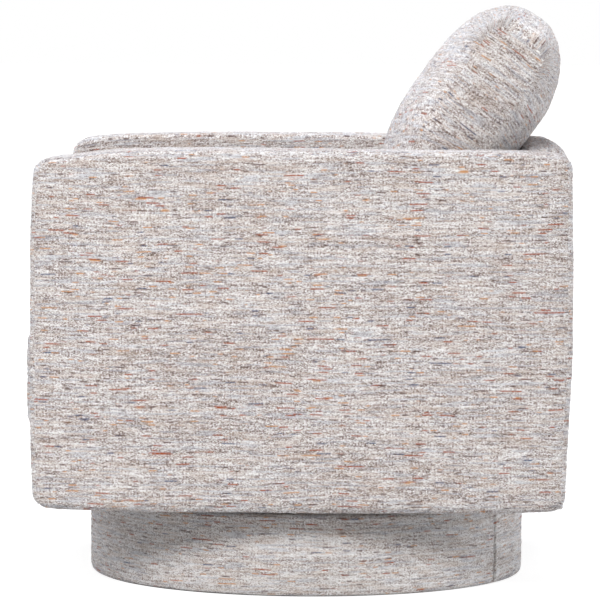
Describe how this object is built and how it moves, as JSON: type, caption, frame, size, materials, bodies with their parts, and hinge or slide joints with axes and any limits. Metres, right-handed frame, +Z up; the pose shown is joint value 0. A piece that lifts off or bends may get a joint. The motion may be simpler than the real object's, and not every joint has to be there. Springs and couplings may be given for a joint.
{
  "type": "swivel rocker",
  "caption": "Upholstered swivel rocker with level arms, a low back, a loose seat cushion and a leaning back pillow, on a round fabric-covered drum base.",
  "frame": {"origin": "on the floor at the swivel axis, the middle of the drum's floor ring", "axes": "+Z up, the chair faces -Y, +X towards the sitter's left arm"},
  "size_m": [0.86, 0.8115, 0.8849],
  "materials": {
    "tweed": "matte nubbly tweed",
    "black_lining": "matte non-woven",
    "deck_felt": "matte felt",
    "floor_rubber": "matte",
    "hardwood": "sawn, unfinished",
    "plywood": "sanded, unfinished",
    "hardboard": "smooth, unfinished",
    "zinc_steel": "bright zinc plate",
    "ball_steel": "polished",
    "black_steel": "satin black",
    "spring_steel": "dark oiled",
    "nylon": "natural",
    "black_plastic": "moulded"
  },
  "bodies": {
    "floor_base": {"floor_ring": "floor_rubber", "base_lower_hoop": "hardwood", "base_glue_blocks": "hardwood", "base_board": "plywood", "drum_wall": "plywood", "drum_cover": "tweed", "drum_bottom_cover": "black_lining", "race_lower": "zinc_steel", "race_screws": "zinc_steel"},
    "ball_ring": {"bearing_balls": "ball_steel", "ball_cage": "nylon"},
    "turntable": {"race_upper": "zinc_steel", "rocker_carriage": "black_steel", "carriage_bolts": "zinc_steel", "pivot_pins": "zinc_steel", "pivot_washers": "zinc_steel", "pivot_clips": "zinc_steel", "spring_cups_lower": "black_plastic", "coil_springs_front": "spring_steel", "coil_springs_rear": "spring_steel", "bump_stops": "floor_rubber"},
    "chair": {"seat_plate": "black_steel", "pivot_bushes": "nylon", "spring_cups_upper": "black_plastic", "seat_plate_bolts": "zinc_steel", "mechanism_rails": "hardwood", "front_rail": "hardwood", "back_rail": "hardwood", "side_rail_left": "hardwood", "side_rail_right": "hardwood", "corner_blocks": "hardwood", "frame_cleats": "hardwood", "rail_screws": "zinc_steel", "arm_frame_left": "hardwood", "arm_frame_right": "hardwood", "arm_boards_left": "hardboard", "arm_boards_right": "hardboard", "arm_bolts": "zinc_steel", "back_frame": "hardwood", "back_board": "hardboard", "seat_springs": "spring_steel", "spring_clips": "zinc_steel", "deck_pad": "deck_felt", "seat_dust_cover": "black_lining", "front_rail_cover": "tweed", "arm_cover_left": "tweed", "arm_cover_right": "tweed", "back_cover": "tweed"},
    "loose_cushion": {"seat_cushion": "tweed"},
    "loose_pillow": {"back_pillow": "tweed"}
  },
  "joints": [
    {"name": "swivel", "type": "hinge", "parent": "floor_base", "child": "turntable", "pos_m": [0, 0, 0.071], "axis": [0, 0, 1], "continuous": true},
    {"name": "ball_roll", "type": "hinge", "parent": "floor_base", "child": "ball_ring", "pos_m": [0, 0, 0.071], "axis": [0, 0, 1], "continuous": true},
    {"name": "rock", "type": "hinge", "parent": "turntable", "child": "chair", "pos_m": [0, 0, 0.14], "axis": [1, 0, 0], "range_deg": [-6, 6], "stiffness_Nm_per_rad": 1100, "deforming": ["coil_springs_front", "coil_springs_rear"]},
    {"name": "cushion_lift", "type": "slide", "parent": "chair", "child": "loose_cushion", "axis": [0, 0, 1], "range_m": [0, 0.3]},
    {"name": "pillow_lift", "type": "slide", "parent": "loose_cushion", "child": "loose_pillow", "axis": [0, 0, 1], "range_m": [0, 0.3]}
  ],
  "couplings": [
    {"joint": "ball_roll", "follows": "swivel", "ratio": 0.5}
  ]
}
